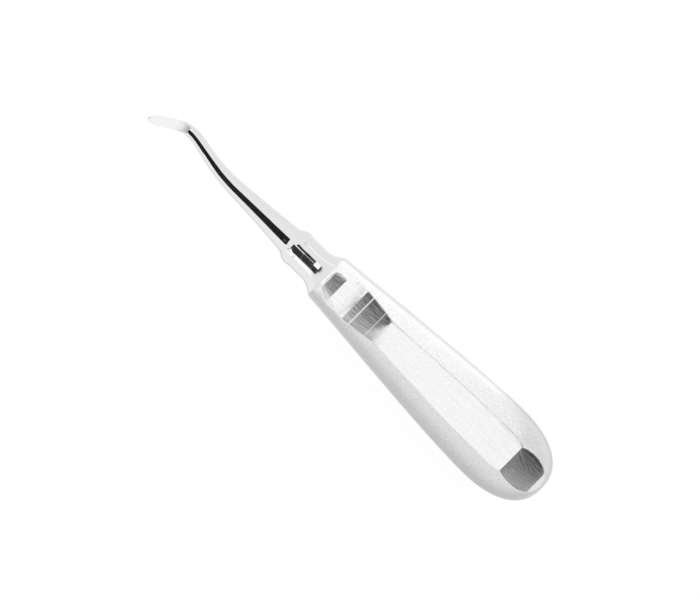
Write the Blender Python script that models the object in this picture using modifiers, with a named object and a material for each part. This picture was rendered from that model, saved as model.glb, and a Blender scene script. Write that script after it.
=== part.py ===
"""Curved dental elevator: a polished working end seated in a hollow satin steel handle.

Metres, +Z up. The instrument lies on the ground flat on the back of its handle, as on a tray.
Both pieces are drawn from the shoulder, where the neck meets the handle: the handle runs
along +X and the working end along -X. An empty then lays that frame on the tray.
"""

import math

import bmesh
import bpy
from mathutils import Vector

# Handle: outline seen from the front
HANDLE_LENGTH = 0.0835
SHOULDER_WIDTH = 0.0146
HANDLE_WIDTH = 0.0242
BUTT_LENGTH = 0.0193
FLANK_START_ANGLE = math.radians(4.9)
FLANK_START_PULL = 0.0214
FLANK_END_PULL = 0.0142
BUTT_ROUNDNESS = 2.35

# Handle: depth of the rounded body, before its front and back are ground
SHOULDER_DEPTH = 0.0116
HANDLE_DEPTH = 0.0157
DEPTH_START_ANGLE = math.radians(4.2)
DEPTH_START_PULL = 0.013
DEPTH_END_ANGLE = math.radians(0.95)
DEPTH_END_PULL = 0.0385
DEPTH_BUTT_LENGTH = 0.015
DEPTH_BUTT_ROUNDNESS = 2.05

# Handle: the ground front and back, as places along it and depths below the rounded body
THUMB_REST_START = 0.0008
THUMB_RAMP_START = 0.0013
THUMB_FLOOR_START = 0.0048
THUMB_FLOOR_END = 0.0112
FLAT_START = 0.0214
BUTT_FACE_LENGTH = 0.0097
BUTT_RIM_LENGTH = 0.0025
THUMB_RAMP_START_CUT = 0.00042
THUMB_FLOOR_START_CUT = 0.00118
THUMB_FLOOR_END_CUT = 0.0014
THUMB_FLOOR_SAG = 0.0001
FLAT_START_CUT = 0.00057
FLAT_END_CUT = 0.0006
BUTT_FACE_END_CUT = 0.0005
BUTT_FACE_CROWN = 0.00042
BUTT_RIM_HALF_DEPTH = 0.0022

# Handle: hollow inside, with a socket for the tang
HANDLE_WALL = 0.0013
TANG_DIAMETER = 0.0055
TANG_LENGTH = 0.017
TANG_CHAMFER = 0.0006
TANG_CLEARANCE = 0.0003
TANG_END_CLEARANCE = 0.001
SEAM_GAP = 0.0003

# Neck: collar rim, waist and flare up to the shoulder
NECK_LENGTH = 0.0129
NECK_DIAMETER = 0.0103
RIM_HEIGHT = 0.0003
RIM_SETBACK = 0.0017
RIM_HALF_WIDTH = 0.0015
FLARE_LENGTH = 0.0046
FLARE_POWER = 1.8
NECK_STEP_LENGTH = 0.0016

# Shank: round and tapered, straight from the neck and then curved to one side
SHANK_ROOT_DIAMETER = 0.0081
SHANK_MIDDLE_DIAMETER = 0.0041
SHANK_TIP_DIAMETER = 0.0034
BEND_START = Vector((-0.036, -0.0002, 0.0))
BEND_START_PULL = 0.0095
CREST = Vector((-0.0545, 0.0022, 0.0))
CREST_PULL_IN = 0.0045
CREST_PULL_OUT = 0.004

# Blade: a shallow gouge, hollow in front and round behind
TIP = Vector((-0.0664, -0.0037, 0.0))
TIP_ANGLE = math.radians(32.0)
TIP_PULL = 0.0065
BLADE_LENGTH = 0.0105
BLADE_BLEND = 0.005
BLADE_WIDTH = 0.0031
BLADE_BACK = 0.0011
BLADE_BACK_AT_TIP = 0.0006
BLADE_EDGE_RISE = 0.00025
GOUGE_DEPTH = 0.0006
TIP_ROUND_LENGTH = 0.0036
TIP_WIDTH_POWER = 0.7
TIP_DEPTH_POWER = 0.45

# Mesh fineness
AROUND_HANDLE = 56
AROUND_HOLLOW = 28
AROUND_SHANK = 24
FLANK_STEPS = 20
BUTT_STEPS = 12
CURVE_STEPS = 6
FLARE_STEPS = 8
RIM_STEPS = 10
STRAIGHT_STEPS = 8
BEND_STEPS = 14
BLADE_STEPS = 22
HALVINGS = 40

# Cutters reach this far past what they cut, and points closer than these are one point
CUTTER_REACH = 0.002
MERGE_DISTANCE = 0.00001
WELD_DISTANCE = 0.000001

# Finish: edges sharper than this stay crisp
SHARP_ANGLE = math.radians(24.0)
SATIN_GREY = (0.80, 0.80, 0.80)
SATIN_ROUGHNESS = 0.38
POLISHED_GREY = (0.78, 0.78, 0.79)
POLISHED_ROUGHNESS = 0.12

PARTS = "curved_dental_elevator"
CUTTERS = "cutters"


def clear_scene():
    for obj in list(bpy.data.objects):
        bpy.data.objects.remove(obj, do_unlink=True)


def new_collection(name):
    made = bpy.data.collections.new(name)
    bpy.context.scene.collection.children.link(made)
    return made


def add_object(name, mesh, collection):
    obj = bpy.data.objects.new(name, mesh)
    bpy.data.collections[collection].objects.link(obj)
    return obj


def add_cutter(name, mesh):
    cutter = add_object(name, mesh, CUTTERS)
    cutter.hide_render = True
    cutter.display_type = "WIRE"
    return cutter


def steel(name, colour, roughness):
    material = bpy.data.materials.new(name)
    material.use_nodes = True
    shader = material.node_tree.nodes["Principled BSDF"]
    shader.inputs["Base Color"].default_value = (*colour, 1.0)
    shader.inputs["Metallic"].default_value = 1.0
    shader.inputs["Roughness"].default_value = roughness
    return material


def cut(obj, cutter):
    modifier = obj.modifiers.new("Cut " + cutter.name, "BOOLEAN")
    modifier.operation = "DIFFERENCE"
    modifier.solver = "EXACT"
    modifier.object = cutter


def as_mesh(obj):
    """The evaluated shape of an object, welded and moved to where the object stands."""
    bpy.context.view_layer.update()
    evaluated = obj.evaluated_get(bpy.context.evaluated_depsgraph_get())
    mesh = bpy.data.meshes.new_from_object(evaluated)
    mesh.transform(obj.matrix_world)
    bm = bmesh.new()
    bm.from_mesh(mesh)
    bmesh.ops.remove_doubles(bm, verts=bm.verts, dist=WELD_DISTANCE)
    bmesh.ops.recalc_face_normals(bm, faces=bm.faces)
    bm.to_mesh(mesh)
    bm.free()
    bpy.data.objects.remove(obj, do_unlink=True)
    return mesh


def mix(a, b, share):
    return a + (b - a) * share


def smooth_step(share):
    share = min(max(share, 0.0), 1.0)
    return share * share * (3.0 - 2.0 * share)


def quadratic(a, b, c, t):
    return (1 - t) ** 2 * a + 2 * t * (1 - t) * b + t**2 * c


def cubic(points, t):
    a, b, c, d = points
    return (1 - t) ** 3 * a + 3 * t * (1 - t) ** 2 * b + 3 * t**2 * (1 - t) * c + t**3 * d


def cubic_direction(points, t):
    a, b, c, d = points
    slope = (1 - t) ** 2 * (b - a) + 2 * t * (1 - t) * (c - b) + t**2 * (d - c)
    return slope.normalized()


# Handle outline, from the front and from the side

WIDEST = HANDLE_LENGTH - BUTT_LENGTH
DEEPEST = HANDLE_LENGTH - DEPTH_BUTT_LENGTH


def swelling(start_height, end_height, end, start_angle, start_pull, end_angle, end_pull):
    """The control points of an outline that swells from the shoulder to its fullest."""
    return (
        Vector((0.0, start_height)),
        Vector((start_pull, start_height + start_pull * math.tan(start_angle))),
        Vector((end - end_pull, end_height - end_pull * math.tan(end_angle))),
        Vector((end, end_height)),
    )


WIDTH_CURVE = swelling(
    SHOULDER_WIDTH / 2,
    HANDLE_WIDTH / 2,
    WIDEST,
    FLANK_START_ANGLE,
    FLANK_START_PULL,
    0.0,
    FLANK_END_PULL,
)
DEPTH_CURVE = swelling(
    SHOULDER_DEPTH / 2,
    HANDLE_DEPTH / 2,
    DEEPEST,
    DEPTH_START_ANGLE,
    DEPTH_START_PULL,
    DEPTH_END_ANGLE,
    DEPTH_END_PULL,
)


def height_at(curve, x):
    """The height of a curve at the distance x from the shoulder, found by halving."""
    low, high = 0.0, 1.0
    for _ in range(HALVINGS):
        middle = (low + high) / 2
        if cubic(curve, middle).x < x:
            low = middle
        else:
            high = middle
    return cubic(curve, low).y


def rounded_end(x, start, roundness, inset):
    """How much of its fullest size the butt still has at x, as a superellipse."""
    along = (x - start) / (HANDLE_LENGTH - inset - start)
    return (1.0 - min(along, 1.0) ** roundness) ** (1.0 / roundness)


def half_width(x, inset=0.0):
    """Half the width of the handle's rounded body at x, or of one set in by a wall."""
    if x <= WIDEST:
        return height_at(WIDTH_CURVE, x) - inset
    fullest = HANDLE_WIDTH / 2 - inset
    return fullest * rounded_end(x, WIDEST, BUTT_ROUNDNESS, inset)


def half_depth(x, inset=0.0):
    """Half the depth of the handle's rounded body at x, or of one set in by a wall."""
    if x <= DEEPEST:
        return height_at(DEPTH_CURVE, x) - inset
    fullest = HANDLE_DEPTH / 2 - inset
    return fullest * rounded_end(x, DEEPEST, DEPTH_BUTT_ROUNDNESS, inset)


def ground_point(x, cut_depth):
    """A point of the ground front, as distance from the shoulder and from the axis."""
    return Vector((x, half_depth(x) - cut_depth))


def flat_line():
    """Both ends of the long flat, as points of the ground front."""
    flat_end = HANDLE_LENGTH - BUTT_RIM_LENGTH - BUTT_FACE_LENGTH
    return ground_point(FLAT_START, FLAT_START_CUT), ground_point(flat_end, FLAT_END_CUT)


def bowed(start, end, rise):
    """Points from start to end along a curve whose middle rises above the straight line."""
    control = (start + end) / 2 + Vector((0.0, 2 * rise))
    return [
        quadratic(start, control, end, step / CURVE_STEPS)
        for step in range(CURVE_STEPS + 1)
    ]


def ground_profile(inset=0.0):
    """The handle's front seen from the side: thumb rest, flat, butt face and butt rim."""
    entry = ground_point(THUMB_REST_START, 0.0)
    ramp_start = ground_point(THUMB_RAMP_START, THUMB_RAMP_START_CUT)
    floor_start = ground_point(THUMB_FLOOR_START, THUMB_FLOOR_START_CUT)
    floor_end = ground_point(THUMB_FLOOR_END, THUMB_FLOOR_END_CUT)
    flat_start, flat_end = flat_line()
    face_end = ground_point(HANDLE_LENGTH - BUTT_RIM_LENGTH, BUTT_FACE_END_CUT)
    points = [entry, ramp_start]
    points += bowed(floor_start, floor_end, -THUMB_FLOOR_SAG)
    points.append(flat_start)
    points += bowed(flat_end, face_end, BUTT_FACE_CROWN)
    points.append(Vector((HANDLE_LENGTH, BUTT_RIM_HALF_DEPTH)))
    return [(point.x, point.y - inset) for point in points]


# Handle solids


def rounded_body(start, inset, around):
    """The handle's rounded body: a shape turned to its width, then made less deep."""
    end = HANDLE_LENGTH - inset
    outline = [(0.0, end)]
    for step in range(1, BUTT_STEPS):
        angle = math.pi / 2 * step / BUTT_STEPS
        x = WIDEST + (end - WIDEST) * math.cos(angle)
        outline.append((half_width(x, inset), x))
    for step in range(FLANK_STEPS + 1):
        x = mix(WIDEST, start, step / FLANK_STEPS)
        outline.append((half_width(x, inset), x))
    outline.append((0.0, start))
    mesh = bpy.data.meshes.new("outline")
    points = [(radius, 0.0, height) for radius, height in outline]
    edges = [(i, i + 1) for i in range(len(points) - 1)]
    mesh.from_pydata(points, edges, [])
    turned = add_object("turned", mesh, PARTS)
    screw = turned.modifiers.new("Turn", "SCREW")
    screw.steps = around
    screw.render_steps = around
    screw.use_merge_vertices = True
    screw.merge_threshold = MERGE_DISTANCE
    turned.rotation_euler.y = math.pi / 2
    body = as_mesh(turned)
    for vertex in body.vertices:
        x = min(vertex.co.x, end)
        if half_width(x, inset) > 0:
            vertex.co.z *= half_depth(x, inset) / half_width(x, inset)
    return body


def face_cutter(name, inset, side):
    """A prism that takes off what stands above the ground profile, in front or behind."""
    profile = ground_profile(inset)
    clear = HANDLE_DEPTH / 2 + CUTTER_REACH
    past_end = HANDLE_LENGTH + CUTTER_REACH
    outline = [(profile[0][0], clear)] + profile
    outline += [(past_end, profile[-1][1]), (past_end, clear)]
    curve = bpy.data.curves.new(name, "CURVE")
    curve.dimensions = "2D"
    curve.fill_mode = "BOTH"
    curve.extrude = HANDLE_WIDTH / 2 + CUTTER_REACH
    spline = curve.splines.new("POLY")
    spline.points.add(len(outline) - 1)
    for point, (x, z) in zip(spline.points, outline):
        point.co = (x, side * z, 0.0, 1.0)
    spline.use_cyclic_u = True
    prism = add_object(name, curve, CUTTERS)
    prism.rotation_euler.x = math.pi / 2
    return add_cutter(name, as_mesh(prism))


def socket_cutter():
    """The bore that the tang sits in, from the shoulder into the hollow."""
    depth = TANG_LENGTH + TANG_END_CLEARANCE + CUTTER_REACH
    mesh = bpy.data.meshes.new("socket")
    bm = bmesh.new()
    bmesh.ops.create_cone(
        bm,
        cap_ends=True,
        segments=AROUND_SHANK,
        radius1=TANG_DIAMETER / 2 + TANG_CLEARANCE,
        radius2=TANG_DIAMETER / 2 + TANG_CLEARANCE,
        depth=depth + CUTTER_REACH,
    )
    bm.to_mesh(mesh)
    bm.free()
    cutter = add_cutter("socket", mesh)
    cutter.rotation_euler.y = math.pi / 2
    cutter.location.x = (depth - CUTTER_REACH) / 2
    return cutter


def hollow_cutter():
    """The hollow inside the handle, a wall's thickness in from the outside."""
    start = TANG_LENGTH + TANG_END_CLEARANCE
    hollow = add_cutter("hollow", rounded_body(start, HANDLE_WALL, AROUND_HOLLOW))
    cut(hollow, face_cutter("hollow_front", HANDLE_WALL, 1.0))
    cut(hollow, face_cutter("hollow_back", HANDLE_WALL, -1.0))
    return hollow


def make_handle():
    handle = add_object("handle", rounded_body(SEAM_GAP, 0.0, AROUND_HANDLE), PARTS)
    cut(handle, face_cutter("front", 0.0, 1.0))
    cut(handle, face_cutter("back", 0.0, -1.0))
    cut(handle, socket_cutter())
    cut(handle, hollow_cutter())
    handle.data.materials.append(steel("satin_steel", SATIN_GREY, SATIN_ROUGHNESS))
    return handle


# Working end, a loft of round and oval sections from the tang to the tip


def oval(centre, direction, wide, high, low, hollow=0.0):
    """A ring across the path. Its front may be hollowed, as on a gouge."""
    across = Vector((-direction.y, direction.x, 0.0))
    ring = []
    for step in range(AROUND_SHANK):
        angle = 2 * math.pi * step / AROUND_SHANK
        up = math.sin(angle)
        height = up * high - up * up * hollow if up > 0 else up * low
        ring.append(centre + across * (wide * math.cos(angle)) + Vector((0, 0, height)))
    return ring


def round_ring(x, radius):
    return oval(Vector((x, 0, 0)), Vector((-1, 0, 0)), radius, radius, radius)


def tang_rings():
    radius = TANG_DIAMETER / 2
    return [
        round_ring(TANG_LENGTH, radius - TANG_CHAMFER),
        round_ring(TANG_LENGTH - TANG_CHAMFER, radius),
        round_ring(0.0, radius),
    ]


def flare_rings():
    """From the oval shoulder down to the round neck, in a hollow curve."""
    neck = NECK_DIAMETER / 2
    rings = []
    for step in range(FLARE_STEPS + 1):
        away = step / FLARE_STEPS
        lift = (1.0 - away) ** FLARE_POWER
        wide = mix(neck, SHOULDER_WIDTH / 2, lift)
        deep = mix(neck, SHOULDER_DEPTH / 2, lift)
        centre = Vector((-FLARE_LENGTH * away, 0, 0))
        rings.append(oval(centre, Vector((-1, 0, 0)), wide, deep, deep))
    return rings


def rim_rings():
    """The low rounded bead near the neck's end, and the step down to the shank."""
    neck = NECK_DIAMETER / 2
    rings = []
    centre = -(NECK_LENGTH - RIM_SETBACK)
    for step in range(RIM_STEPS + 1):
        across = 2 * step / RIM_STEPS - 1
        bead = RIM_HEIGHT * (1 + math.cos(math.pi * across)) / 2
        rings.append(round_ring(centre - across * RIM_HALF_WIDTH, neck + bead))
    rings.append(round_ring(-NECK_LENGTH, neck - RIM_HEIGHT / 2))
    return rings


def shank_radius(x):
    root = -(NECK_LENGTH + NECK_STEP_LENGTH)
    along = min(max((x - root) / (CREST.x - root), 0.0), 1.0)
    diameter = quadratic(
        SHANK_ROOT_DIAMETER, SHANK_MIDDLE_DIAMETER, SHANK_TIP_DIAMETER, along
    )
    return diameter / 2


def shank_rings():
    root = Vector((-(NECK_LENGTH + NECK_STEP_LENGTH), 0, 0))
    backwards = Vector((1, 0, 0))
    straight = (
        root,
        mix(root, Vector((BEND_START.x, 0, 0)), 0.5),
        BEND_START + backwards * BEND_START_PULL / 2,
        BEND_START,
    )
    bend = (
        BEND_START,
        BEND_START - backwards * BEND_START_PULL,
        CREST + backwards * CREST_PULL_IN,
        CREST,
    )
    rings = []
    for curve, steps in ((straight, STRAIGHT_STEPS), (bend, BEND_STEPS)):
        for step in range(steps):
            centre = cubic(curve, step / steps)
            radius = shank_radius(centre.x)
            direction = cubic_direction(curve, step / steps)
            rings.append(oval(centre, direction, radius, radius, radius))
    return rings


def blade_rings():
    """From the crest of the shank to just short of the tip, flattening into a gouge."""
    pointing = Vector((-math.cos(TIP_ANGLE), -math.sin(TIP_ANGLE), 0.0))
    curve = (
        CREST,
        CREST + Vector((-CREST_PULL_OUT, 0, 0)),
        TIP - pointing * TIP_PULL,
        TIP,
    )
    radius = SHANK_TIP_DIAMETER / 2
    rings = []
    for step in range(BLADE_STEPS):
        t = math.sin(math.pi / 2 * step / BLADE_STEPS)
        centre = cubic(curve, t)
        to_tip = (TIP - centre).length
        flatness = smooth_step((BLADE_LENGTH + BLADE_BLEND / 2 - to_tip) / BLADE_BLEND)
        round_off = 1.0 - (1.0 - min(to_tip / TIP_ROUND_LENGTH, 1.0)) ** 2
        near_tip = 1.0 - min(to_tip / BLADE_LENGTH, 1.0)
        back = mix(BLADE_BACK, BLADE_BACK_AT_TIP, near_tip)
        thin = round_off**TIP_DEPTH_POWER
        rings.append(
            oval(
                centre,
                cubic_direction(curve, t),
                mix(radius, BLADE_WIDTH / 2, flatness) * round_off**TIP_WIDTH_POWER,
                mix(radius, BLADE_EDGE_RISE, flatness) * thin,
                mix(radius, back, flatness) * thin,
                GOUGE_DEPTH * flatness * thin,
            )
        )
    return rings


def make_working_end():
    rings = tang_rings() + flare_rings() + rim_rings() + shank_rings() + blade_rings()
    bm = bmesh.new()
    loops = [[bm.verts.new(point) for point in ring] for ring in rings]
    for near, far in zip(loops, loops[1:]):
        for i in range(AROUND_SHANK):
            after = (i + 1) % AROUND_SHANK
            bm.faces.new((near[i], near[after], far[after], far[i]))
    bm.faces.new(loops[0])
    tip = bm.verts.new(TIP)
    for i in range(AROUND_SHANK):
        bm.faces.new((loops[-1][i], loops[-1][(i + 1) % AROUND_SHANK], tip))
    bmesh.ops.recalc_face_normals(bm, faces=bm.faces)
    mesh = bpy.data.meshes.new("working_end")
    bm.to_mesh(mesh)
    bm.free()
    mesh.materials.append(steel("polished_steel", POLISHED_GREY, POLISHED_ROUGHNESS))
    return add_object("working_end", mesh, PARTS)


def tray_frame():
    """The frame that both pieces hang on, turned so that the back's flat lies level."""
    near, far = flat_line()
    lean = math.atan((far.y - near.y) / (far.x - near.x))
    frame = bpy.data.objects.new("tray_frame", None)
    bpy.data.collections[PARTS].objects.link(frame)
    frame.rotation_euler.y = -lean
    frame.location = (
        -(HANDLE_LENGTH + TIP.x) / 2 * math.cos(lean),
        0.0,
        near.y * math.cos(lean) - near.x * math.sin(lean),
    )
    return frame


def main():
    clear_scene()
    new_collection(PARTS)
    new_collection(CUTTERS)
    handle = make_handle()
    working_end = make_working_end()
    frame = tray_frame()
    for obj in list(bpy.data.collections[CUTTERS].objects) + [handle, working_end]:
        obj.parent = frame
    for piece in (handle, working_end):
        piece.data.shade_smooth()
        piece.data.set_sharp_from_angle(angle=SHARP_ANGLE)


main()
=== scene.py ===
import math

import bpy
import numpy as np
from mathutils import Matrix, Vector


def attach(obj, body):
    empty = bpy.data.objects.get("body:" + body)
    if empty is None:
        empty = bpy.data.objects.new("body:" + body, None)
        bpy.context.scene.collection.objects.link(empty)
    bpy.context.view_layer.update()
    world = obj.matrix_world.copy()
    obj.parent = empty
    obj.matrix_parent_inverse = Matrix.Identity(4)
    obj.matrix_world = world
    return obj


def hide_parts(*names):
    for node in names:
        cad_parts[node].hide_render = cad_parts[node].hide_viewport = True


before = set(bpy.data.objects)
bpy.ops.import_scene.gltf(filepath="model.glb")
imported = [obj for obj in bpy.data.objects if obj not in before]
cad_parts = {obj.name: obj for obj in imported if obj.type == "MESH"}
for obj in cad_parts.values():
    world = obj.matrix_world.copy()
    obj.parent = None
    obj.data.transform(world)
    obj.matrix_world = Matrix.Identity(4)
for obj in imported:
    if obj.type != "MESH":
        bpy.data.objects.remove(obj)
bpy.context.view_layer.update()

GROUND_ATTRIBUTE = "ground"

# Handle: the same sizes as in the solids, in metres from the shoulder
HANDLE_LENGTH = 0.0835
SHOULDER_WIDTH = 0.0146
HANDLE_WIDTH = 0.0242
BUTT_LENGTH = 0.0193
FLANK_START_ANGLE = math.radians(4.9)
FLANK_START_PULL = 0.0214
FLANK_END_PULL = 0.0142
BUTT_ROUNDNESS = 2.35
SHOULDER_DEPTH = 0.0116
HANDLE_DEPTH = 0.0157
DEPTH_START_ANGLE = math.radians(4.2)
DEPTH_START_PULL = 0.013
DEPTH_END_ANGLE = math.radians(0.95)
DEPTH_END_PULL = 0.0385
DEPTH_BUTT_LENGTH = 0.015
DEPTH_BUTT_ROUNDNESS = 2.05
WIDEST = HANDLE_LENGTH - BUTT_LENGTH
DEEPEST = HANDLE_LENGTH - DEPTH_BUTT_LENGTH

# Ground front and back: distance from the shoulder, and depth below the rounded body
THUMB_REST_START = 0.0008
THUMB_RAMP_START = 0.0013
THUMB_RAMP_START_CUT = 0.00042
THUMB_FLOOR_START = 0.0048
THUMB_FLOOR_START_CUT = 0.00118
THUMB_FLOOR_END = 0.0112
THUMB_FLOOR_END_CUT = 0.0014
THUMB_FLOOR_SAG = 0.0001
FLAT_START = 0.0214
FLAT_START_CUT = 0.00057
FLAT_END_CUT = 0.0006
BUTT_FACE_LENGTH = 0.0097
BUTT_RIM_LENGTH = 0.0025
BUTT_FACE_END_CUT = 0.0005
BUTT_FACE_CROWN = 0.00042
BUTT_RIM_HALF_DEPTH = 0.0022
BUTT_FACE_END = HANDLE_LENGTH - BUTT_RIM_LENGTH
BUTT_FACE_START = BUTT_FACE_END - BUTT_FACE_LENGTH

# Creases of the ground front: place, depth of the cut, and bow of the stretch before it
GROUND_STOPS = (
    (THUMB_REST_START, 0.0, 0.0),
    (THUMB_RAMP_START, THUMB_RAMP_START_CUT, 0.0),
    (THUMB_FLOOR_START, THUMB_FLOOR_START_CUT, 0.0),
    (THUMB_FLOOR_END, THUMB_FLOOR_END_CUT, -THUMB_FLOOR_SAG),
    (FLAT_START, FLAT_START_CUT, 0.0),
    (BUTT_FACE_START, FLAT_END_CUT, 0.0),
    (BUTT_FACE_END, BUTT_FACE_END_CUT, BUTT_FACE_CROWN),
)

# Last part of the thumb ramp: it tilts across, and its end is sharp at +Y and soft at -Y
RAMP_TILT = 0.010
RAMP_TILT_PAST_END = 0.002
RAMP_END_SOFTNESS = (0.00002, 0.0004)
RAMP_END_WIDTH = 0.008

# Fine marks that the grinding left across the thumb ramp: place, height and half width
GRIND_MARKS = ((0.0135, 0.000022, 0.00014), (0.019, -0.000014, 0.00012))

# Socket and tang
TANG_DIAMETER = 0.0055
TANG_LENGTH = 0.017
TANG_CHAMFER = 0.0006
TANG_CLEARANCE = 0.0003
TANG_END_CLEARANCE = 0.001

# Neck, shank and blade
NECK_LENGTH = 0.0129
NECK_DIAMETER = 0.0103
RIM_HEIGHT = 0.0003
RIM_SETBACK = 0.0017
RIM_HALF_WIDTH = 0.0015
FLARE_LENGTH = 0.0046
FLARE_POWER = 1.8
NECK_STEP_LENGTH = 0.0016
SHANK_ROOT_DIAMETER = 0.0081
SHANK_MIDDLE_DIAMETER = 0.0041
SHANK_TIP_DIAMETER = 0.0034
BEND_START = Vector((-0.036, -0.0002, 0.0))
BEND_START_PULL = 0.0095
CREST = Vector((-0.0545, 0.0022, 0.0))
CREST_PULL_IN = 0.0045
CREST_PULL_OUT = 0.004
TIP = Vector((-0.0664, -0.0037, 0.0))
TIP_ANGLE = math.radians(32.0)
TIP_PULL = 0.0065
BLADE_LENGTH = 0.0105
BLADE_BLEND = 0.005
BLADE_WIDTH = 0.0031
BLADE_BACK = 0.0011
BLADE_BACK_AT_TIP = 0.0006
BLADE_EDGE_RISE = 0.00025
GOUGE_DEPTH = 0.0006
TIP_ROUND_LENGTH = 0.0036
TIP_WIDTH_POWER = 0.7
TIP_DEPTH_POWER = 0.45

# Rounding of creases and edges. At +Y the edges of ramp and flat are rounded further
CREASE_ROUNDING = 0.00006
EDGE_ROUNDING = 0.00012
RAMP_EDGE_ROUNDING = 0.0004
RAMP_EDGE_START = 0.001
RAMP_EDGE_RISE = 0.006
RAMP_EDGE_PAST_END = 0.001
RAMP_EDGE_FADE = 0.012
FLAT_EDGE_ROUNDING = 0.00025
FLAT_EDGE_LEAD = 0.0100
FLAT_EDGE_RISE = 0.002
WIDEST_ROUNDING = 1 / 4
ENTRY_SOFTNESS = 0.85
ENTRY_SOFT_END = 0.0040
ENTRY_SOFT_FADE = 0.0050
SEAM = 0.00001
SHOULDER_ROUNDING = 0.00006

# Crown of the ground faces, as the drop at CROWN_HALF_WIDTH from their middle
CROWN_HALF_WIDTH = 0.0046
RAMP_CROWN = 0.00008
FLAT_CROWN = 0.000015
CROWN_FADE_LEAD = 0.002
CROWN_FADE = 0.003
CROWN_FACE_RISE = 0.002
CROWN_FLOOR_FADE = 0.001
CROWN_FLOOR_LOSS = 0.7
LEAST_CROWN = 1e-9

# Fineness of the shown surfaces
TABLE_POINTS = 2001
CREASE_SAMPLES = 5
STATION_SPACING = 0.00036
CREASE_SPACING = 0.00006
CREASE_REACH = 0.0004
LEAST_STATION_SPACING = 0.6 * CREASE_SPACING
MARK_REACH = 3
MARK_STEPS = 2
BUTT_CAP_LENGTH = 0.004
BUTT_CAP_STATIONS = 40
SHOULDER_RINGS = 6
FLANK_POINTS = 20
FLANK_CROWDING = 1.7
FLAT_POINTS = 14
FLAT_CROWDING = 1.5
GROUND_EDGE_RANGE = (0.3, math.sin(math.radians(80)))
AROUND = 96
FLARE_RINGS = 30
FLARE_FIRST_RING = 0.02
NECK_RINGS = 8
RIM_RINGS = 24
RIM_CUT_LENGTH = 0.0002
NECK_STEP_RINGS = 16
NECK_STEP_ROUNDNESS = 0.6
STRAIGHT_RINGS = 40
BEND_RINGS = 64
BLADE_RINGS = 90


def spaced(start, end, count):
    """Plain numbers at equal steps, both ends included."""
    return [start + (end - start) * i / (count - 1) for i in range(count)]


def cubic(points, t):
    a, b, c, d = points
    return (1 - t) ** 3 * a + 3 * t * (1 - t) ** 2 * b + 3 * t**2 * (1 - t) * c + t**3 * d


def cubic_direction(points, t):
    a, b, c, d = points
    slope = (1 - t) ** 2 * (b - a) + 2 * t * (1 - t) * (c - b) + t**2 * (d - c)
    return slope.normalized()


def smooth_step(share):
    share = min(max(share, 0.0), 1.0)
    return share * share * (3.0 - 2.0 * share)


def mix(a, b, share):
    return a + (b - a) * share


# Handle


def swelling(start_height, end_height, end, start_angle, start_pull, end_angle, end_pull):
    """A dense table of the outline that swells from the shoulder to its fullest."""
    points = (
        np.array((0.0, start_height)),
        np.array((start_pull, start_height + start_pull * math.tan(start_angle))),
        np.array((end - end_pull, end_height - end_pull * math.tan(end_angle))),
        np.array((end, end_height)),
    )
    return np.array([cubic(points, t) for t in spaced(0.0, 1.0, TABLE_POINTS)])


WIDTH_TABLE = swelling(
    SHOULDER_WIDTH / 2,
    HANDLE_WIDTH / 2,
    WIDEST,
    FLANK_START_ANGLE,
    FLANK_START_PULL,
    0.0,
    FLANK_END_PULL,
)
DEPTH_TABLE = swelling(
    SHOULDER_DEPTH / 2,
    HANDLE_DEPTH / 2,
    DEEPEST,
    DEPTH_START_ANGLE,
    DEPTH_START_PULL,
    DEPTH_END_ANGLE,
    DEPTH_END_PULL,
)


def half_size(x, table, start, fullest, roundness):
    """Half the width or depth at x, from the table, or beyond start as a superellipse."""
    if x <= start:
        return float(np.interp(x, table[:, 0], table[:, 1]))
    along = min((x - start) / (HANDLE_LENGTH - start), 1.0)
    return fullest * (1.0 - along**roundness) ** (1.0 / roundness)


def half_width(x):
    return half_size(x, WIDTH_TABLE, WIDEST, HANDLE_WIDTH / 2, BUTT_ROUNDNESS)


def half_depth(x):
    return half_size(x, DEPTH_TABLE, DEEPEST, HANDLE_DEPTH / 2, DEPTH_BUTT_ROUNDNESS)


def ground_height(x):
    """Height of the ground front above the axis."""
    if x < THUMB_REST_START:
        slope = THUMB_RAMP_START_CUT / (THUMB_RAMP_START - THUMB_REST_START)
        return half_depth(THUMB_REST_START) + (THUMB_REST_START - x) * slope
    for (start, start_cut, _), (end, end_cut, bow) in zip(GROUND_STOPS, GROUND_STOPS[1:]):
        if x <= end:
            share = (x - start) / (end - start)
            line = mix(half_depth(start) - start_cut, half_depth(end) - end_cut, share)
            return line + 4 * bow * share * (1 - share)
    share = (x - BUTT_FACE_END) / BUTT_RIM_LENGTH
    return mix(half_depth(BUTT_FACE_END) - BUTT_FACE_END_CUT, BUTT_RIM_HALF_DEPTH, share)


def softened_ground(x):
    """The ground height at x with its creases rounded a little."""
    offsets = spaced(-CREASE_ROUNDING, CREASE_ROUNDING, CREASE_SAMPLES)
    return float(np.mean([ground_height(x + offset) for offset in offsets]))


def grind_marks(x):
    """How far the fine grinding marks stand above the ground front at x."""
    return sum(
        height * math.exp(-(((x - place) / half) ** 2)) for place, height, half in GRIND_MARKS
    )


def tilted_ground(x, y, ground, marks):
    """The ground front at (x, y), where the last part of the thumb ramp tilts across."""
    height = ground + marks
    if THUMB_FLOOR_END < x < FLAT_START + RAMP_TILT_PAST_END:
        share = (x - THUMB_FLOOR_END) / (FLAT_START - THUMB_FLOOR_END)
        ramp = mix(
            half_depth(THUMB_FLOOR_END) - THUMB_FLOOR_END_CUT,
            half_depth(FLAT_START) - FLAT_START_CUT,
            share,
        )
        tilted = ramp - RAMP_TILT * share * y + marks
        softness = mix(*RAMP_END_SOFTNESS, smooth_step(0.5 - y / RAMP_END_WIDTH))
        height = soft_lower(tilted, flat_line(x) + marks, softness)
    return height


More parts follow.
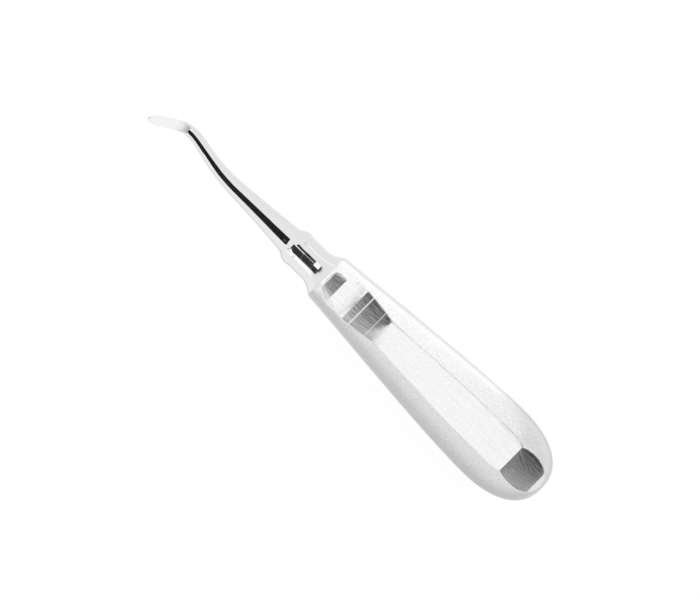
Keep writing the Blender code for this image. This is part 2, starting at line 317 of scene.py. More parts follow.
def flat_line(x):
    """Height of the long flat, also where it is extended over the thumb ramp."""
    near = half_depth(FLAT_START) - FLAT_START_CUT
    far = half_depth(BUTT_FACE_START) - FLAT_END_CUT
    return mix(near, far, (x - FLAT_START) / (BUTT_FACE_START - FLAT_START))


def handle_stations():
    """Where the handle's sections are taken: closer at creases, marks and the butt."""
    start = SEAM + SHOULDER_ROUNDING
    butt = HANDLE_LENGTH - BUTT_CAP_LENGTH
    places = list(np.arange(start, butt, STATION_SPACING))
    for crease, _, _ in GROUND_STOPS:
        places += list(
            np.arange(crease - CREASE_REACH, crease + CREASE_REACH, CREASE_SPACING)
        )
    for place, _, half in GRIND_MARKS:
        reach = MARK_REACH * half
        places += list(np.arange(place - reach, place + reach, half / MARK_STEPS))
    for angle in spaced(0, math.pi / 2, BUTT_CAP_STATIONS)[:-1]:
        places.append(butt + BUTT_CAP_LENGTH * math.sin(angle))
    places = sorted(p for p in places if start <= p < HANDLE_LENGTH)
    kept = [places[0]]
    for place in places[1:]:
        if place - kept[-1] > LEAST_STATION_SPACING:
            kept.append(place)
    return kept


def edge_share(x):
    """The angle on the oval where the ground front meets the rounded side."""
    least, most = GROUND_EDGE_RANGE
    return math.asin(max(min(softened_ground(x) / half_depth(x), most), least))


def crown(x):
    """How much the ground front bulges across its width at x."""
    ramp = 1.0 - smooth_step((x - FLAT_START + CROWN_FADE_LEAD) / CROWN_FADE)
    face = smooth_step((x - BUTT_FACE_START) / CROWN_FACE_RISE)
    floor = smooth_step((x - THUMB_FLOOR_START) / CROWN_FLOOR_FADE)
    floor *= 1.0 - smooth_step((x - THUMB_FLOOR_END + CROWN_FLOOR_FADE) / CROWN_FLOOR_FADE)
    return mix(FLAT_CROWN, RAMP_CROWN, max(ramp * (1.0 - CROWN_FLOOR_LOSS * floor), face))


def crowned_share(y, z, ground, bulge):
    """How far along the line from the axis to (y, z) the crowned ground front lies."""
    across = bulge * (y / CROWN_HALF_WIDTH) ** 2
    if across < LEAST_CROWN:
        return ground / max(z, LEAST_CROWN)
    return (math.sqrt(z * z + 4 * across * ground) - z) / (2 * across)


def soft_lower(a, b, reach):
    """The lower of two values, with the corner between them rounded."""
    return min(a, b) - max(reach - abs(a - b), 0.0) ** 2 / (4 * reach)


def ring_angles(edge):
    """Angles round the handle's section, crowded towards the edges of the ground faces."""
    quarter = [
        edge * (1 - (1 - share) ** FLANK_CROWDING)
        for share in spaced(0, 1, FLANK_POINTS + 1)[:-1]
    ]
    quarter += [
        edge + (math.pi / 2 - edge) * share**FLAT_CROWDING
        for share in spaced(0, 1, FLAT_POINTS + 1)[:-1]
    ]
    half = quarter + [math.pi - angle for angle in [math.pi / 2] + quarter[:0:-1]]
    return half + [math.pi + angle for angle in half]


def edge_roundings(x, cut, widest):
    """How far the edges of the ground faces are rounded at x, in general and at +Y."""
    near_entry = 1.0 - smooth_step((x - ENTRY_SOFT_END) / ENTRY_SOFT_FADE)
    reach = max(mix(EDGE_ROUNDING, ENTRY_SOFTNESS * cut, near_entry), EDGE_ROUNDING)
    reach = min(reach, widest)
    on_ramp = smooth_step((x - THUMB_FLOOR_END - RAMP_EDGE_START) / RAMP_EDGE_RISE)
    on_ramp *= 1.0 - smooth_step((x - FLAT_START - RAMP_EDGE_PAST_END) / RAMP_EDGE_FADE)
    on_flat = smooth_step((x - BUTT_FACE_START + FLAT_EDGE_LEAD) / FLAT_EDGE_RISE)
    further = max(reach, RAMP_EDGE_ROUNDING * on_ramp, FLAT_EDGE_ROUNDING * on_flat)
    return reach, min(further, widest)


def handle_ring(x):
    """The outline of the handle's section at x, and how far each point is ground."""
    wide, deep = half_width(x), half_depth(x)
    ground = softened_ground(x)
    bulge = crown(x)
    marks = grind_marks(x)
    reach, further = edge_roundings(x, max(deep - ground, 0.0), deep * WIDEST_ROUNDING)
    ring, ground_shares = [], []
    for angle in ring_angles(edge_share(x)):
        y, z = wide * math.cos(angle), deep * math.sin(angle)
        far = math.hypot(y, z)
        here = tilted_ground(x, y, ground, marks) if z > 0 else ground
        flat_far = far * crowned_share(y, abs(z), here, bulge)
        rounding = further if y > 0 and z > 0 else reach
        share = soft_lower(far, flat_far, rounding) / far
        ring.append((x, y * share, z * share))
        ground_shares.append(smooth_step((far - flat_far) / EDGE_ROUNDING))
    return ring, ground_shares


def closed_mesh(name, rings, first, last):
    """A mesh through rings of equal count, closed by a point or a face at each end."""
    count = len(rings[0])
    vertices = [tuple(point) for ring in rings for point in ring]
    faces = []
    for row in range(len(rings) - 1):
        base, after = row * count, (row + 1) * count
        for i in range(count):
            j = (i + 1) % count
            faces.append((base + i, base + j, after + j, after + i))
    for end, base, turn in ((first, 0, 1), (last, (len(rings) - 1) * count, -1)):
        loop = [base + i for i in range(count)][::turn]
        if end is None:
            faces.append(tuple(loop[::-1]))
        else:
            vertices.append(tuple(end))
            pole = len(vertices) - 1
            faces += [(loop[(i + 1) % count], loop[i], pole) for i in range(count)]
    mesh = bpy.data.meshes.new(name)
    mesh.from_pydata(vertices, [], faces)
    mesh.validate()
    mesh.update()
    return mesh


def round_ring(x, radius, angles):
    """A circle across the axis at x, with its points at the given angles."""
    return [(x, radius * math.cos(a), radius * math.sin(a)) for a in angles]


def handle_mesh():
    """The handle with its socket, closed, and with its ground faces marked for the finish."""
    first, _ = handle_ring(SEAM + SHOULDER_ROUNDING)
    angles = [math.atan2(z, y) for _, y, z in first]
    socket = TANG_DIAMETER / 2 + TANG_CLEARANCE
    end = TANG_LENGTH + TANG_END_CLEARANCE
    rings = [round_ring(end, socket, angles)]
    rings.append(round_ring(SEAM, socket, angles))
    for turn in spaced(0, math.pi / 2, SHOULDER_RINGS)[:-1]:
        inset = SHOULDER_ROUNDING * (1 - math.sin(turn))
        back = SEAM + SHOULDER_ROUNDING * (1 - math.cos(turn))
        shrink = 1 - inset / half_depth(0.0)
        rings.append([(back, y * shrink, z * shrink) for _, y, z in first])
    shares = [0.0] * (len(rings) * len(first))
    for x in handle_stations():
        ring, ground_shares = handle_ring(x)
        rings.append(ring)
        shares += ground_shares
    shares += [0.0, 0.0]
    mesh = closed_mesh("satin_handle", rings, (end, 0, 0), (HANDLE_LENGTH, 0, 0))
    attribute = mesh.attributes.new(GROUND_ATTRIBUTE, "FLOAT", "POINT")
    attribute.data.foreach_set("value", np.array(shares, np.float32))
    return mesh


# Working end


def oval(centre, direction, wide, high, low, hollow=0.0):
    """A ring across the direction, as high above and low below, and hollowed above."""
    across = Vector((-direction.y, direction.x, 0.0))
    ring = []
    for step in range(AROUND):
        angle = 2 * math.pi * step / AROUND
        up = math.sin(angle)
        height = up * high - up * up * hollow if up > 0 else up * low
        ring.append(centre + across * (wide * math.cos(angle)) + Vector((0, 0, height)))
    return ring


def turned_ring(x, wide, deep):
    """An oval ring across the axis at x."""
    return oval(Vector((x, 0, 0)), Vector((-1, 0, 0)), wide, deep, deep)


def shank_radius(x):
    """The shank's radius at x, falling along a curve from its root to its crest."""
    root = -(NECK_LENGTH + NECK_STEP_LENGTH)
    t = min(max((x - root) / (CREST.x - root), 0.0), 1.0)
    start, middle, end = SHANK_ROOT_DIAMETER, SHANK_MIDDLE_DIAMETER, SHANK_TIP_DIAMETER
    return ((1 - t) ** 2 * start + 2 * t * (1 - t) * middle + t**2 * end) / 2


def neck_rings():
    """Rings of the tang, the flare at the shoulder, the neck, its bead and its step."""
    tang = TANG_DIAMETER / 2
    neck = NECK_DIAMETER / 2
    rings = [
        turned_ring(TANG_LENGTH, tang - TANG_CHAMFER, tang - TANG_CHAMFER),
        turned_ring(TANG_LENGTH - TANG_CHAMFER, tang, tang),
        turned_ring(0.0, tang, tang),
    ]
    wide, deep = SHOULDER_WIDTH / 2, SHOULDER_DEPTH / 2
    rings.append(turned_ring(0.0, wide - SHOULDER_ROUNDING, deep - SHOULDER_ROUNDING))
    for away in spaced(FLARE_FIRST_RING, 1, FLARE_RINGS):
        lift = (1.0 - away) ** FLARE_POWER
        x = -FLARE_LENGTH * away
        rings.append(turned_ring(x, mix(neck, wide, lift), mix(neck, deep, lift)))
    centre = -(NECK_LENGTH - RIM_SETBACK)
    step_top = neck - RIM_HEIGHT / 2
    for x in spaced(-FLARE_LENGTH, centre + RIM_HALF_WIDTH, NECK_RINGS)[1:-1]:
        rings.append(turned_ring(x, neck, neck))
    for across in spaced(-1, 1, RIM_RINGS):
        bead = RIM_HEIGHT * (1 + math.cos(math.pi * across)) / 2
        radius = neck + bead
        x = centre - across * RIM_HALF_WIDTH
        if x < -NECK_LENGTH + RIM_CUT_LENGTH:
            share = (-NECK_LENGTH + RIM_CUT_LENGTH - x) / RIM_CUT_LENGTH
            radius = min(radius, mix(neck, step_top, share))
        if x > -NECK_LENGTH:
            rings.append(turned_ring(x, radius, radius))
    shank = shank_radius(-(NECK_LENGTH + NECK_STEP_LENGTH))
    for share in spaced(0, 1, NECK_STEP_RINGS)[:-1]:
        fall = smooth_step(share) * NECK_STEP_ROUNDNESS + share * (1 - NECK_STEP_ROUNDNESS)
        radius = mix(step_top, shank, fall)
        rings.append(turned_ring(-NECK_LENGTH - NECK_STEP_LENGTH * share, radius, radius))
    return rings


def shank_rings():
    """Rings of the straight part of the shank and of its bend up to the crest."""
    root = Vector((-(NECK_LENGTH + NECK_STEP_LENGTH), 0, 0))
    backwards = Vector((1, 0, 0))
    straight = (
        root,
        mix(root, Vector((BEND_START.x, 0, 0)), 0.5),
        BEND_START + backwards * BEND_START_PULL / 2,
        BEND_START,
    )
    bend = (
        BEND_START,
        BEND_START - backwards * BEND_START_PULL,
        CREST + backwards * CREST_PULL_IN,
        CREST,
    )
    rings = []
    for curve, steps in ((straight, STRAIGHT_RINGS), (bend, BEND_RINGS)):
        for t in spaced(0, 1, steps + 1)[:-1]:
            centre = cubic(curve, t)
            radius = shank_radius(centre.x)
            rings.append(oval(centre, cubic_direction(curve, t), radius, radius, radius))
    return rings


def blade_rings():
    """Rings from the crest over the gouge-shaped blade, closer towards its tip."""
    pointing = Vector((-math.cos(TIP_ANGLE), -math.sin(TIP_ANGLE), 0.0))
    curve = (
        CREST,
        CREST + Vector((-CREST_PULL_OUT, 0, 0)),
        TIP - pointing * TIP_PULL,
        TIP,
    )
    radius = SHANK_TIP_DIAMETER / 2
    rings = []
    for share in spaced(0, 1, BLADE_RINGS + 1)[:-1]:
        t = math.sin(math.pi / 2 * share)
        centre = cubic(curve, t)
        to_tip = (TIP - centre).length
        flatness = smooth_step((BLADE_LENGTH + BLADE_BLEND / 2 - to_tip) / BLADE_BLEND)
        round_off = 1.0 - (1.0 - min(to_tip / TIP_ROUND_LENGTH, 1.0)) ** 2
        near_tip = 1.0 - min(to_tip / BLADE_LENGTH, 1.0)
        back = mix(BLADE_BACK, BLADE_BACK_AT_TIP, near_tip)
        thin = round_off**TIP_DEPTH_POWER
        rings.append(
            oval(
                centre,
                cubic_direction(curve, t),
                mix(radius, BLADE_WIDTH / 2, flatness) * round_off**TIP_WIDTH_POWER,
                mix(radius, BLADE_EDGE_RISE, flatness) * thin,
                mix(radius, back, flatness) * thin,
                GOUGE_DEPTH * flatness * thin,
            )
        )
    return rings


def working_end_mesh():
    rings = neck_rings() + shank_rings() + blade_rings()
    return closed_mesh("polished_working_end", rings, None, TIP)


# Materials: each grain is given as its features in a metre along, across and up

NOISE_ROUGHNESS = 0.6
FINE_DETAIL = 3.0
COARSE_DETAIL = 2.0

SATIN_COLOUR = (0.80, 0.80, 0.80)
SATIN_HAIRS = (90, 6000, 6000)
SATIN_STREAKS = (60, 2600, 2600)
SATIN_GRAIN = (1500, 1900, 1900)
SATIN_PATCHES = (60, 160, 160)
SATIN_ROUGHNESS = 0.06
STREAK_ROUGHNESS = 0.10
PATCH_ROUGHNESS = 0.04
GRAIN_ROUGHNESS = 0.10
GROUND_TONE = 0.64
GROUND_STREAK_TONE = 0.17
GROUND_GRAIN_TONE = 0.15
SIDE_TONE = 0.65
SIDE_GRAIN_TONE = 0.30
SATIN_HAIR_HEIGHT = 0.03
SATIN_GRAIN_HEIGHT = 1.4
SATIN_BUMP = (1.0, 0.000035)

POLISH_COLOUR = (0.78, 0.78, 0.79)
POLISH_HAIRS = (120, 5200, 5200)
POLISH_WAVES = (220, 420, 420)
POLISH_ROUGHNESS = 0.04
HAIR_ROUGHNESS = 0.05
WAVE_ROUGHNESS = 0.05
POLISH_WAVE_HEIGHT = 3.0
POLISH_BUMP = (0.12, 0.00001)


def new_node(tree, kind, **settings):
    node = tree.nodes.new(kind)
    for name, value in settings.items():
        setattr(node, name, value)
    return node


def put(node, **values):
    """Sets inputs of a node by their names, with _ for a space."""
    for name, value in values.items():
        node.inputs[name.replace("_", " ")].default_value = value


def math_node(tree, operation, a, b=None, c=None):
    """A Math node on numbers or on other nodes' outputs."""
    node = new_node(tree, "ShaderNodeMath", operation=operation)
    for socket, value in zip(node.inputs, (a, b, c)):
        if value is None:
            continue
        if isinstance(value, (int, float)):
            socket.default_value = value
        else:
            tree.links.new(value, socket)
    return node.outputs[0]


def ramp_between(tree, value, low, high, at_low, at_high):
    """A smooth rise from at_low to at_high while the value goes from low to high."""
    node = new_node(tree, "ShaderNodeMapRange", interpolation_type="SMOOTHSTEP")
    tree.links.new(value, node.inputs["Value"])
    put(node, From_Min=low, From_Max=high, To_Min=at_low, To_Max=at_high)
    return node.outputs["Result"]


def split_vector(tree, vector):
    """The X, Y and Z of a vector."""
    split = new_node(tree, "ShaderNodeSeparateXYZ")
    tree.links.new(vector, split.inputs[0])
    return split.outputs


def share_between(tree, at_none, at_full, share):
    """A value that goes from at_none to at_full as the share goes from 0 to 1."""
    spread = math_node(tree, "SUBTRACT", at_full, at_none)
    return math_node(tree, "MULTIPLY_ADD", spread, share, at_none)


def stretched_noise(tree, coordinates, stretch, detail=FINE_DETAIL):
    """Noise with as many features in a metre as the stretch says."""
    mapping = new_node(tree, "ShaderNodeMapping")
    mapping.inputs["Scale"].default_value = stretch
    tree.links.new(coordinates, mapping.inputs["Vector"])
    noise = new_node(tree, "ShaderNodeTexNoise")
    put(noise, Scale=1.0, Detail=detail, Roughness=NOISE_ROUGHNESS)
    tree.links.new(mapping.outputs["Vector"], noise.inputs["Vector"])
    return noise.outputs["Fac"]


def new_steel(name, colour):
    """A metal of one colour, with its nodes and the coordinates for its grain."""
    material = bpy.data.materials.new(name)
    material.use_nodes = True
    tree = material.node_tree
    shader = tree.nodes["Principled BSDF"]
    shader.inputs["Base Color"].default_value = (*colour, 1.0)
    shader.inputs["Metallic"].default_value = 1.0
    coordinates = new_node(tree, "ShaderNodeTexCoord").outputs["Object"]
    return material, tree, shader, coordinates


def add_bump(tree, shader, height, strength, distance):
    bump = new_node(tree, "ShaderNodeBump")
    put(bump, Strength=strength, Distance=distance)
    tree.links.new(height, bump.inputs["Height"])
    tree.links.new(bump.outputs["Normal"], shader.inputs["Normal"])


def satin_steel():
    """Satin steel, brushed along the ground faces, with a blasted grain on the sides."""
    material, tree, shader, coordinates = new_steel("satin_steel", SATIN_COLOUR)
    hairs = stretched_noise(tree, coordinates, SATIN_HAIRS)
    streaks = stretched_noise(tree, coordinates, SATIN_STREAKS)
    grain = stretched_noise(tree, coordinates, SATIN_GRAIN)
    patches = stretched_noise(tree, coordinates, SATIN_PATCHES, COARSE_DETAIL)
    marked = new_node(tree, "ShaderNodeAttribute", attribute_name=GROUND_ATTRIBUTE)
    ground = marked.outputs["Fac"]

    rough = math_node(tree, "MULTIPLY_ADD", streaks, STREAK_ROUGHNESS, SATIN_ROUGHNESS)
    rough = math_node(tree, "MULTIPLY_ADD", patches, PATCH_ROUGHNESS, rough)
    side_rough = math_node(tree, "MULTIPLY_ADD", grain, GRAIN_ROUGHNESS, rough)
    rough = share_between(tree, side_rough, rough, ground)
    tree.links.new(rough, shader.inputs["Roughness"])

    tone = math_node(tree, "MULTIPLY_ADD", streaks, GROUND_STREAK_TONE, GROUND_TONE)
    tone = math_node(tree, "MULTIPLY_ADD", grain, GROUND_GRAIN_TONE, tone)
    side_tone = math_node(tree, "MULTIPLY_ADD", grain, SIDE_GRAIN_TONE, SIDE_TONE)
    tone = share_between(tree, side_tone, tone, ground)
    colour = new_node(tree, "ShaderNodeCombineColor")
    for channel in colour.inputs:
        tree.links.new(tone, channel)
    tree.links.new(colour.outputs[0], shader.inputs["Base Color"])

    height = math_node(tree, "MULTIPLY", hairs, SATIN_HAIR_HEIGHT)
    height = math_node(tree, "ADD", streaks, height)
    sides = math_node(tree, "SUBTRACT", 1.0, ground)
    side_grain = math_node(tree, "MULTIPLY", grain, sides)
    height = math_node(tree, "MULTIPLY_ADD", side_grain, SATIN_GRAIN_HEIGHT, height)
    add_bump(tree, shader, height, *SATIN_BUMP)
    return material


def polished_steel():
    """Polished steel with the faint waviness and hairlines of a buffed surface."""
    material, tree, shader, coordinates = new_steel("polished_steel", POLISH_COLOUR)
    hairs = stretched_noise(tree, coordinates, POLISH_HAIRS)
    waves = stretched_noise(tree, coordinates, POLISH_WAVES, COARSE_DETAIL)
    rough = math_node(tree, "MULTIPLY_ADD", hairs, HAIR_ROUGHNESS, POLISH_ROUGHNESS)
    rough = math_node(tree, "MULTIPLY_ADD", waves, WAVE_ROUGHNESS, rough)
    tree.links.new(rough, shader.inputs["Roughness"])
    height = math_node(tree, "MULTIPLY_ADD", waves, POLISH_WAVE_HEIGHT, hairs)
    add_bump(tree, shader, height, *POLISH_BUMP)
    return material


# The pieces, laid on the tray as the solids are


def tray_matrix():
    """Lays the handle's flat back on the tray, with the whole part centred along X."""
    near = (FLAT_START, half_depth(FLAT_START) - FLAT_START_CUT)
    far = (BUTT_FACE_START, half_depth(BUTT_FACE_START) - FLAT_END_CUT)
    lean = math.atan((far[1] - near[1]) / (far[0] - near[0]))
    turn = Matrix.Rotation(-lean, 4, "Y")
    middle = (HANDLE_LENGTH + TIP.x) / 2
    lift = near[1] * math.cos(lean) - near[0] * math.sin(lean)
    return Matrix.Translation((-middle * math.cos(lean), 0.0, lift)) @ turn


def add_piece(mesh, material, node):
    """Places a finished piece, which stands for a node of the solids."""
    mesh.transform(tray_matrix())
    mesh.materials.append(material)
    mesh.shade_smooth()
    piece = bpy.data.objects.new(mesh.name, mesh)
    bpy.context.scene.collection.objects.link(piece)
    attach(piece, "root")
    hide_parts(node)


add_piece(handle_mesh(), satin_steel(), "handle")
add_piece(working_end_mesh(), polished_steel(), "working_end")


# Stage: a white floor, cards that paint reflections on the polished working end, and a soft
# light tent

# The floor. The camera sees mostly its glow, which is white and still takes a shadow. The
# steel mirrors a weaker glow, which rises from -Y to +Y in two steps and falls at the butt.
# This mirrored glow is painted light and shade that only reflections see: a painted shadow
# at -Y, as from a key light at +Y, and a painted darker reflection towards the butt
FLOOR_SIZE = 6.0
FLOOR_DROP = 0.00005
PAPER = (0.80, 0.80, 0.80, 1.0)
SEEN_PAPER = (0.22, 0.22, 0.22, 1.0)
SEEN_GLOW = 0.85
MIRRORED_GLOW = (0.04, 0.36)
MIRRORED_REACH = (-0.030, 0.004)
MIRRORED_FAR_GLOW = 0.26
MIRRORED_FAR_REACH = (0.018, 0.034)
FAR_END_REACH = (0.046, 0.060)
FAR_END_GLOW = 0.45


def stage_object(name, vertices, faces, material):
    mesh = bpy.data.meshes.new(name)
    mesh.from_pydata(vertices, [], faces)
    mesh.materials.append(material)
    placed = bpy.data.objects.new(name, mesh)
    bpy.context.scene.collection.objects.link(placed)
    return placed


def empty_material(name):
    """A material without nodes, and its tree."""
    material = bpy.data.materials.new(name)
    material.use_nodes = True
    material.node_tree.nodes.clear()
    return material, material.node_tree


def set_surface(tree, shader):
    output = new_node(tree, "ShaderNodeOutputMaterial")
    tree.links.new(shader.outputs[0], output.inputs["Surface"])


def floor_material():
    material, tree = empty_material("floor")
    path = new_node(tree, "ShaderNodeLightPath").outputs
    camera, glossy = path["Is Camera Ray"], path["Is Glossy Ray"]
    x, y, _ = split_vector(tree, new_node(tree, "ShaderNodeNewGeometry").outputs["Position"])
    # Painted light and shade seen only in reflections: darker at -Y, lighter at +Y, darker
    # towards the butt
    mirrored = ramp_between(tree, y, *MIRRORED_REACH, *MIRRORED_GLOW)
    further = ramp_between(tree, y, *MIRRORED_FAR_REACH, 0.0, MIRRORED_FAR_GLOW)
    mirrored = math_node(tree, "ADD", mirrored, further)
    painted_end_shade = ramp_between(tree, x, *FAR_END_REACH, 1.0, FAR_END_GLOW)
    mirrored = math_node(tree, "MULTIPLY", mirrored, painted_end_shade)
    glow = math_node(tree, "MULTIPLY", mirrored, glossy)
    glow = math_node(tree, "MULTIPLY_ADD", camera, SEEN_GLOW, glow)
    colour = new_node(tree, "ShaderNodeMix", data_type="RGBA")
    sides = [socket for socket in colour.inputs if socket.type == "RGBA"]
    for socket, paper in zip(sides, (PAPER, SEEN_PAPER)):
        socket.default_value = paper
    tree.links.new(camera, colour.inputs[0])
    paper = new_node(tree, "ShaderNodeBsdfDiffuse")
    mixed = next(socket for socket in colour.outputs if socket.type == "RGBA")
    tree.links.new(mixed, paper.inputs["Color"])
    emission = new_node(tree, "ShaderNodeEmission")
    tree.links.new(glow, emission.inputs["Strength"])
    both = new_node(tree, "ShaderNodeAddShader")
    tree.links.new(paper.outputs[0], both.inputs[0])
    tree.links.new(emission.outputs[0], both.inputs[1])
    set_surface(tree, both)
    return material


def add_floor():
    half = FLOOR_SIZE / 2
    corners = [(-half, -half), (half, -half), (half, half), (-half, half)]
    vertices = [(x, y, -FLOOR_DROP) for x, y in corners]
    floor = stage_object("floor", vertices, [(0, 1, 2, 3)], floor_material())


# Cards over the working end, each as rungs from a near point, at +Y, to a far one. They are
# painted reflections: they light nothing, cast no shadow, and only reflections see them


def level(height, *rungs):
    """A level card from its height and its rungs (x, near y, far y)."""
    return [((x, near, height), (x, far, height)) for x, near, far in rungs]


def oblong(height, start, end, near, far):
    """A level card with straight sides, from the x of start to that of end."""
    return level(height, (start, near, far), (end, near, far))


def upright(start, end, top):
    """A card that stands on the tray, or above it, between two points."""
    return [(start, (*start[:2], top)), (end, (*end[:2], top))]


# Brightness of the dark cards, which paint dark reflections
BLACK = 0.012
CHARCOAL = 0.032

# Heights of the level cards and of the tops of the upright ones
TIP_LEVEL = 0.009
RIM_LEVEL = 0.0122
OVER_RIM = RIM_LEVEL + 0.0004
SHOULDER_LEVEL = 0.0135
FORK_LEVEL = 0.0138
LOW = 0.014
MIDDLE = 0.019
HIGH = 0.040
UNDER_HIGH = HIGH - 0.0002
SIDE_TOP = 0.0145
STEP_TOP = 0.0128

# Start of the cards that reach past the blade, width of the white card beside the black
# stripe, and outer edge of the grey one on the stripe's other side
PAST_BLADE = -0.0900
SHANK_WHITE_WIDTH = 0.03
SHANK_GREY_EDGE = 0.012

# The card that paints the black reflected stripe on the shank, as rungs (x, near y, far y)
SHANK_FLAG = (
    (-0.0652, 0.0046, -0.0118),
    (-0.0625, 0.0037, -0.0118),
    (-0.0600, 0.0035, -0.0078),
    (-0.0565, 0.0037, -0.0084),
    (-0.0531, 0.0034, -0.0118),
    (-0.0509, 0.0023, -0.0119),
    (-0.0458, 0.0009, -0.0118),
    (-0.0391, 0.0011, -0.0103),
    (-0.0300, 0.0010, -0.0090),
    (-0.0226, 0.0013, -0.0065),
)
SHANK_WHITE = [(x, far, far - SHANK_WHITE_WIDTH) for x, _, far in SHANK_FLAG]
SHANK_GREY = [(x, SHANK_GREY_EDGE, near) for x, near, _ in SHANK_FLAG]
TIP_SLOPE = [
    ((-0.0682, 0.0038, 0.0053), (-0.0682, -0.0012, 0.0053)),
    ((-0.0646, 0.0038, 0.0069), (-0.0646, -0.0012, 0.0069)),
]
NECK_FLAG = (
    (-0.0242, -0.0235, -0.0240),
    (-0.0216, -0.0110, -0.0240),
    (-0.0215, 0.0024, -0.0240),
    (-0.0139, 0.0024, -0.0240),
)

# Name, brightness (or the brightnesses at both ends) and rungs of each card
CARDS = (
    ("shank_flag", BLACK, level(LOW, *SHANK_FLAG)),
    ("fork", 1.10, oblong(FORK_LEVEL, -0.0251, -0.0240, -0.0026, -0.0044)),
    ("shank_white", 1.10, level(LOW, *SHANK_WHITE)),
    ("shank_grey", 1.00, level(LOW, *SHANK_GREY)),
    ("blade_white", 1.15, oblong(LOW, PAST_BLADE, -0.0652, 0.020, -0.025)),
    (
        "tip_flag",
        BLACK,
        level(TIP_LEVEL, (-0.0670, 0.0028, -0.0020), (-0.0634, 0.0029, -0.0021)),
    ),
    # A painted reflection, bright over the blade and grey towards its bend
    ("tip_grey", (1.10, 0.54), TIP_SLOPE),
    ("near_side", 0.98, upright((PAST_BLADE, 0.012, 0.0), (-0.0125, 0.012, 0.0), SIDE_TOP)),
    ("far_side", 1.04, upright((PAST_BLADE, -0.012, 0.0), (-0.0125, -0.012, 0.0), SIDE_TOP)),
    ("step", 1.00, upright((-0.0230, 0.003, 0.0099), (-0.0230, -0.003, 0.0099), STEP_TOP)),
    (
        "rim_flag_wide",
        CHARCOAL,
        level(RIM_LEVEL, (-0.0219, 0.0001, -0.0026), (-0.0174, 0.0001, -0.0031)),
    ),
    ("rim_flag_narrow", CHARCOAL, oblong(RIM_LEVEL, -0.0213, -0.0174, 0.0015, 0.0005)),
    ("rim_grey", 1.00, oblong(OVER_RIM, -0.0229, -0.0174, 0.0045, -0.0033)),
    ("rim_white", 1.25, oblong(OVER_RIM, -0.0229, -0.0174, -0.0033, -0.0080)),
    ("notch", 1.20, oblong(RIM_LEVEL, -0.0135, -0.0119, 0.0017, -0.0004)),
    ("shoulder", 1.15, oblong(SHOULDER_LEVEL, -0.0100, -0.0077, 0.0060, -0.0060)),
    ("flare", 0.98, oblong(RIM_LEVEL, -0.0129, -0.0078, -0.0030, -0.0110)),
    # A painted bright reflection over the thumb rest's entry on the handle
    ("entry", 1.17, oblong(SHOULDER_LEVEL, -0.0078, -0.0020, 0.0090, 0.0038)),
    ("neck_flag_wide", CHARCOAL, level(UNDER_HIGH, *NECK_FLAG)),
    ("neck_flag_narrow", CHARCOAL, oblong(UNDER_HIGH, -0.0215, -0.0143, 0.0136, 0.0036)),
    ("neck_white", 1.25, oblong(MIDDLE, -0.0214, -0.0139, -0.0094, -0.030)),
    ("neck_grey_left", 0.98, oblong(HIGH, PAST_BLADE, -0.0215, 0.050, -0.050)),
    ("neck_grey_near", 0.98, oblong(HIGH, -0.0215, -0.0080, 0.050, 0.0150)),
    ("neck_grey_right", 1.15, oblong(HIGH, -0.0138, -0.0080, 0.0150, -0.050)),
)


def add_card(name, brightness, rungs):
    """A painted reflection: a card that only reflections see, of one brightness or of one at
    each end.
    """
    vertices = [point for rung in rungs for point in rung]
    faces = [(i, i + 1, i + 3, i + 2) for i in range(0, len(vertices) - 2, 2)]
    start, end = brightness if isinstance(brightness, tuple) else (brightness, brightness)
    material, tree = empty_material(name)
    x, _, _ = split_vector(tree, new_node(tree, "ShaderNodeNewGeometry").outputs["Position"])
    shade = ramp_between(tree, x, vertices[0][0], vertices[-1][0], start, end)
    emission = new_node(tree, "ShaderNodeEmission")
    tree.links.new(shade, emission.inputs["Strength"])
    set_surface(tree, emission)
    card = stage_object(name, vertices, faces, material)
    card.visible_camera = False
    card.visible_diffuse = False
    card.visible_shadow = False
    card.visible_transmission = False


# The light tent: its brightness by direction, as smooth steps, each of them a measure, the
# two values of it that the step runs between, and what the step gives at these. The
# measures are degrees from straight up, "along" the handle with + towards the butt, "away"
# the same without its sign and "across" with + towards +Y. "x" is the direction's own X
WHITE = (1.0, 1.0, 1.0, 1.0)
TENT_BASE = (
    ("across", -95.0, -45.0, 0.70, 0.90),
    ("across", -22.0, 0.0, 0.0, 0.28),
    ("across", 0.0, 15.0, 0.0, 0.03),
)

# What is taken off the brightness on the +Y side towards the butt, and at the butt's end
SIDE_SHADE = (("x", 0.015, 0.055, 0.0, 0.36), ("across", 28.0, 38.0, 0.0, 1.0))
END_SHADE = (
    ("along", 55.0, 70.0, 0.0, 0.20),
    ("across", -20.0, 0.0, 0.0, 1.0),
    ("across", 28.0, 38.0, 1.0, 0.0),
)

# A dark gap on each side of straight up, the light that fills a corner of it over the
# thumb rest's entry, and a dark line, which the rounded edges at +Y mirror
GAP = (
    ("away", 8.5, 11.5, 0.0, 1.0),
    ("away", 56.0, 66.0, 1.0, 0.0),
    ("across", -18.0, -8.0, 0.0, 1.0),
    ("across", 20.0, 30.0, 1.0, 0.0),
)
GAP_CORNER = (
    ("along", 24.0, 28.0, 1.0, 0.0),
    ("along", 0.0, 5.0, 0.0, 1.0),
    ("across", 9.0, 13.0, 0.0, 1.0),
)
DARK_LINE = (
    ("along", 0.0, 1.0, 0.0, 1.0),
    ("along", 9.0, 12.0, 1.0, 0.0),
    ("across", 7.0, 10.0, 0.0, 1.0),
    ("across", 22.0, 30.0, 1.0, 0.0),
)

# What still glows in the gap, and what is added to it in the gap towards the blade
GAP_GLOW = (("across", -6.0, 4.0, 0.46, 0.0), ("along", -6.0, 0.0, 0.0, 0.04))
BLADE_GAP_GLOW = (("along", -6.0, 0.0, 0.24, 0.0), ("across", -4.0, 3.0, 1.0, 0.0))


def combined(tree, operation, steps, measures):
    """The sum or the product of smooth steps of the measures."""
    total = None
    for measure, *step in steps:
        value = ramp_between(tree, measures[measure], *step)
        total = value if total is None else math_node(tree, operation, total, value)
    return total


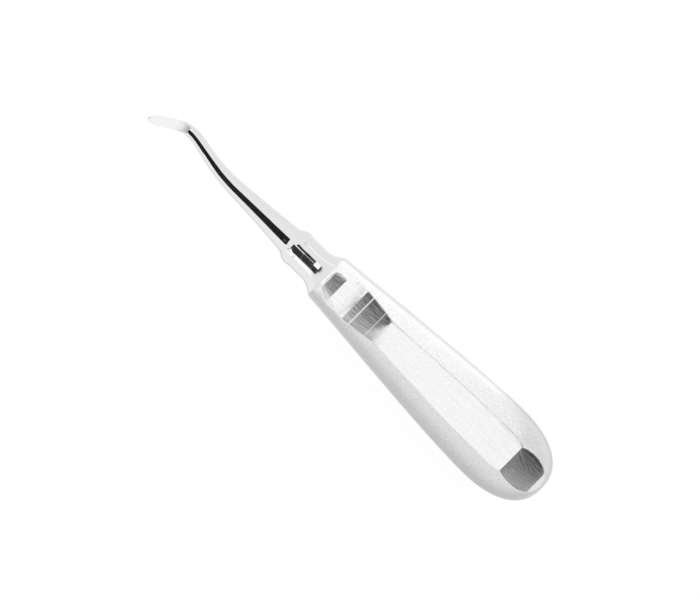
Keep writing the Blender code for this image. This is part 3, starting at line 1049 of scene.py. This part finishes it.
def light_tent():
    """A bright world with dark gaps, which the camera sees as plain white."""
    world = bpy.data.worlds.new("tent")
    bpy.context.scene.world = world
    world.use_nodes = True
    tree = world.node_tree
    background = tree.nodes["Background"]
    put(background, Color=WHITE)
    x, y, z = split_vector(tree, new_node(tree, "ShaderNodeTexCoord").outputs["Generated"])
    degrees = 180 / math.pi
    along = math_node(tree, "MULTIPLY", math_node(tree, "ARCTAN2", x, z), degrees)
    across = math_node(tree, "MULTIPLY", math_node(tree, "ARCTAN2", y, z), degrees)
    away = math_node(tree, "ABSOLUTE", along)
    measures = {"along": along, "away": away, "across": across, "x": x}

    base = combined(tree, "ADD", TENT_BASE, measures)
    for shade in (SIDE_SHADE, END_SHADE):
        base = math_node(tree, "SUBTRACT", base, combined(tree, "MULTIPLY", shade, measures))
    gap = combined(tree, "MULTIPLY", GAP, measures)
    corner = combined(tree, "MULTIPLY", GAP_CORNER, measures)
    gap = math_node(tree, "MULTIPLY", gap, math_node(tree, "SUBTRACT", 1.0, corner))
    gap = math_node(tree, "MAXIMUM", gap, combined(tree, "MULTIPLY", DARK_LINE, measures))
    glow = combined(tree, "ADD", GAP_GLOW, measures)
    glow = math_node(tree, "ADD", glow, combined(tree, "MULTIPLY", BLADE_GAP_GLOW, measures))

    lit = math_node(tree, "MULTIPLY", base, math_node(tree, "SUBTRACT", 1.0, gap))
    total = math_node(tree, "MULTIPLY_ADD", glow, gap, lit)
    camera = new_node(tree, "ShaderNodeLightPath").outputs["Is Camera Ray"]
    total = math_node(tree, "MULTIPLY", total, math_node(tree, "SUBTRACT", 1.0, camera))
    total = math_node(tree, "ADD", total, camera)
    tree.links.new(total, background.inputs["Strength"])


# Camera, straight above, turned so that the handle points down to the right

CAMERA_TURN = math.radians(44.6)
CAMERA_PLACE = (0.00037, 0.00018)
CAMERA_LENS = 135.0
SENSOR_WIDTH = 36.0
VIEW_WIDTH = 0.19415
VIEW_HEIGHT_ABOVE_TRAY = 0.006


def add_camera():
    """A long lens, so that the view has little perspective."""
    data = bpy.data.cameras.new("camera")
    data.lens = CAMERA_LENS
    data.sensor_width = SENSOR_WIDTH
    data.dof.use_dof = False
    camera = bpy.data.objects.new("camera", data)
    distance = VIEW_WIDTH * CAMERA_LENS / SENSOR_WIDTH
    camera.location = (*CAMERA_PLACE, VIEW_HEIGHT_ABOVE_TRAY + distance)
    camera.rotation_euler = (0.0, 0.0, CAMERA_TURN)
    bpy.context.scene.collection.objects.link(camera)
    bpy.context.scene.camera = camera


add_floor()
for card in CARDS:
    add_card(*card)
light_tent()
add_camera()
bpy.context.scene.view_settings.view_transform = "Standard"
